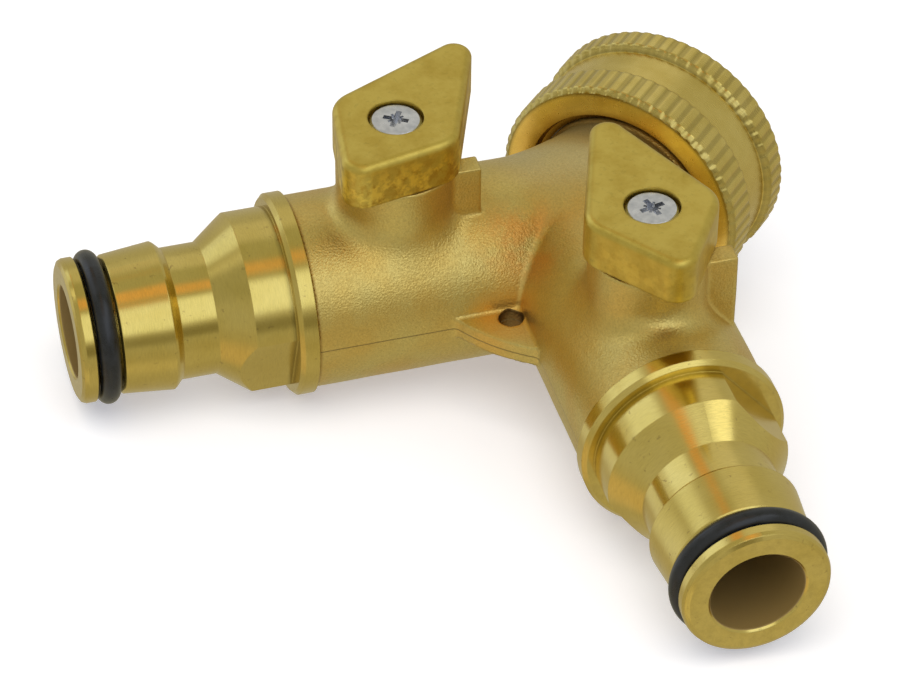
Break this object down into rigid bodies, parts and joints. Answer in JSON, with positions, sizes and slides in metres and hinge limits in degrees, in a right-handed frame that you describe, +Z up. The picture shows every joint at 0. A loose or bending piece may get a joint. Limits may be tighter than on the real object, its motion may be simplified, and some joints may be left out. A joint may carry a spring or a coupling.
{
  "type": "hose splitter",
  "caption": "Y-shaped brass garden hose splitter with a swivel inlet nut, a lever-operated ball valve in each leg and click-on outlet nozzles.",
  "frame": {"origin": "centre of the inlet washer's sealing face, on the inlet axis", "axes": "+Y out of the inlet nut, +Z up through the valve levers, +X towards the right-hand leg"},
  "size_m": [0.1, 0.0727, 0.0389],
  "materials": {
    "forged_brass": "shot-blasted forging",
    "cast_brass": "smooth matte casting",
    "turned_brass": "bright turned",
    "nut_brass": "bright turned, knurled",
    "zinc_steel": "bright zinc plate",
    "spring_steel": "plain wire",
    "plated_ball": "polished plate",
    "rubber": "moulded",
    "seat_plastic": "machined"
  },
  "bodies": {
    "housing": {"valve_body": "forged_brass", "nut_snap_ring": "spring_steel", "inlet_washer": "rubber", "left_outlet_nozzle": "turned_brass", "left_nozzle_o_ring": "rubber", "left_upstream_seat": "seat_plastic", "left_downstream_seat": "seat_plastic", "right_outlet_nozzle": "turned_brass", "right_nozzle_o_ring": "rubber", "right_upstream_seat": "seat_plastic", "right_downstream_seat": "seat_plastic"},
    "inlet_nut": {"swivel_nut": "nut_brass"},
    "left_valve": {"left_valve_ball": "plated_ball", "left_stem": "turned_brass", "left_stem_o_ring_lower": "rubber", "left_stem_o_ring_upper": "rubber", "left_stem_thrust_washer": "seat_plastic", "left_lever": "cast_brass", "left_lever_screw": "zinc_steel"},
    "right_valve": {"right_valve_ball": "plated_ball", "right_stem": "turned_brass", "right_stem_o_ring_lower": "rubber", "right_stem_o_ring_upper": "rubber", "right_stem_thrust_washer": "seat_plastic", "right_lever": "cast_brass", "right_lever_screw": "zinc_steel"}
  },
  "joints": [
    {"name": "nut_spin", "type": "hinge", "parent": "housing", "child": "inlet_nut", "pos_m": [0, 0, 0], "axis": [0, 1, 0], "continuous": true},
    {"name": "left_lever_turn", "type": "hinge", "parent": "housing", "child": "left_valve", "pos_m": [-0.01638, -0.03158, 0], "axis": [0, 0, 1], "range_deg": [-48.5, 45.5]},
    {"name": "right_lever_turn", "type": "hinge", "parent": "housing", "child": "right_valve", "pos_m": [0.01638, -0.03158, 0], "axis": [0, 0, 1], "range_deg": [-94, 0]}
  ]
}
